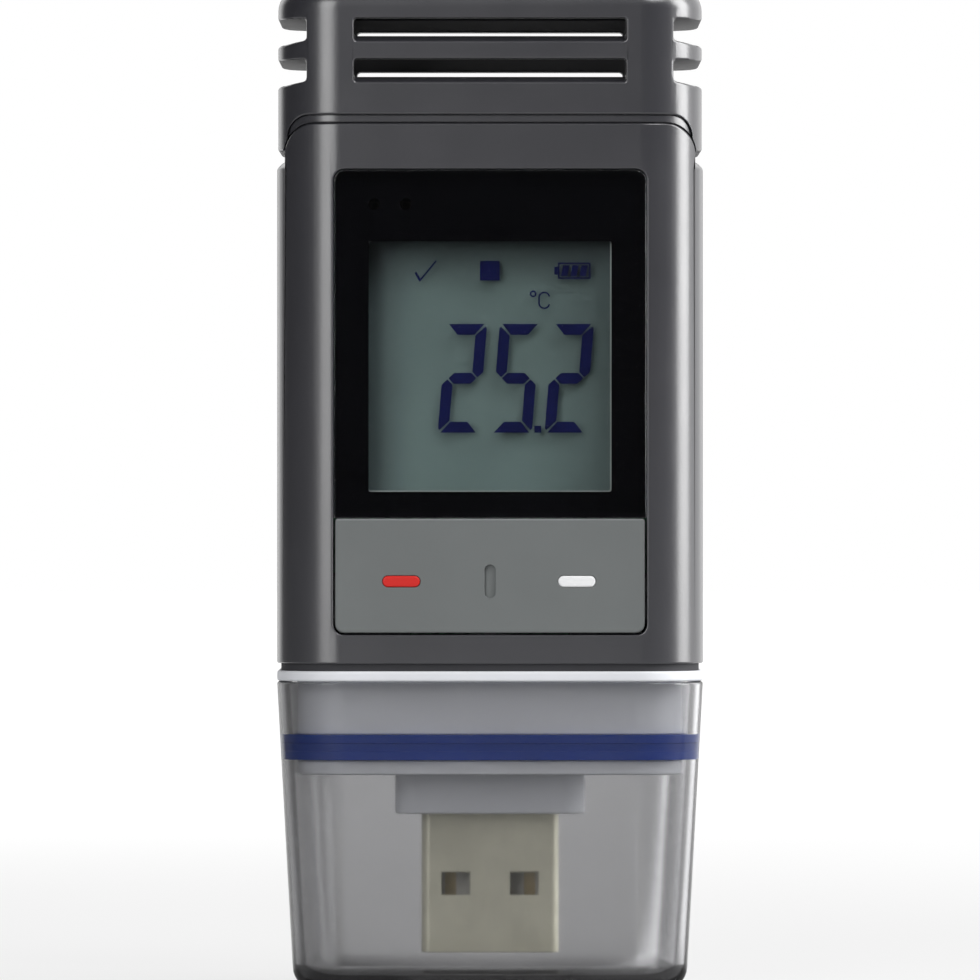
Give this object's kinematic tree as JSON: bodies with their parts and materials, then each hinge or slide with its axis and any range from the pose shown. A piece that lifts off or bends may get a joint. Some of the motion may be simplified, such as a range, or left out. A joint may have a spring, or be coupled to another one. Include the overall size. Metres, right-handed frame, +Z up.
{
  "type": "temperature data logger",
  "caption": "Pocket temperature and humidity data logger with display, two-way key, vented sensor cap and a USB plug under a clear lift-off cap.",
  "frame": {"origin": "middle of the underside of the protective cap, on the surface that the logger stands on", "axes": "+Z up from the plug cap to the sensor cap, -Y out of the display, +X to the right as the display is read"},
  "size_m": [0.0372, 0.024, 0.0875],
  "materials": {
    "casing": "satin",
    "key_plastic": "satin",
    "red_inlay": "satin",
    "white_inlay": "satin",
    "window_pane": "gloss",
    "window_print": "gloss",
    "display_glass": "gloss",
    "display_ink": "satin",
    "display_reflector": "matte",
    "display_frame": "matte",
    "zebra_rubber": "matte",
    "board_green": "satin",
    "chip_black": "matte",
    "capacitor_tan": "satin",
    "lamp_body": "gloss",
    "light_guide": "gloss",
    "spring_steel": "brushed",
    "can_steel": "satin",
    "cell_sleeve": "gloss",
    "holder_black": "matte",
    "seal_black": "matte",
    "seal_blue": "satin",
    "base_plastic": "satin",
    "guard_plastic": "matte",
    "plug_steel": "satin",
    "tongue_plastic": "satin",
    "contact_gold": "polished",
    "label_film": "satin",
    "screw_steel": "zinc plated",
    "smoke_clear": "gloss"
  },
  "bodies": {
    "housing": {"front_shell": "casing", "rear_shell": "casing", "shell_screws": "screw_steel", "top_lid": "casing", "lid_seal": "seal_black", "rear_label": "label_film", "display_window": "window_pane", "window_mask": "window_print", "lcd_front_glass": "display_glass", "lcd_segments": "display_ink", "lcd_rear_glass": "display_glass", "lcd_reflector": "display_reflector", "lcd_holder": "display_frame", "zebra_strip": "zebra_rubber", "main_board": "board_green", "status_leds": "lamp_body", "light_pipes": "light_guide", "snap_domes": "spring_steel", "microcontroller": "chip_black", "memory_chip": "chip_black", "crystal": "can_steel", "chip_capacitors": "capacitor_tan", "battery_cell": "cell_sleeve", "battery_holder": "holder_black", "battery_spring": "spring_steel", "battery_top_contact": "spring_steel", "sensor_chip": "chip_black", "sensor_guard": "guard_plastic", "connector_base": "base_plastic", "base_gasket": "seal_black", "cap_seal": "seal_blue", "usb_shell": "plug_steel", "usb_tongue": "tongue_plastic", "usb_contacts": "contact_gold"},
    "protective_cap": {"protective_cap": "smoke_clear"},
    "vent_cap": {"vent_cap": "casing"},
    "rocker": {"rocker_key": "key_plastic", "red_mark": "red_inlay", "white_mark": "white_inlay"}
  },
  "joints": [
    {"name": "protective_cap_slide", "type": "slide", "parent": "protective_cap", "child": "housing", "axis": [0, 0, 1], "range_m": [0, 0.03]},
    {"name": "vent_cap_slide", "type": "slide", "parent": "housing", "child": "vent_cap", "axis": [0, 0, 1], "range_m": [0, 0.02]},
    {"name": "key_rock", "type": "hinge", "parent": "housing", "child": "rocker", "pos_m": [0, -0.0091, 0.03617], "axis": [0, 0, 1], "range_deg": [-2, 2], "stiffness_Nm_per_rad": 0.05, "deforming": ["snap_domes"]}
  ]
}
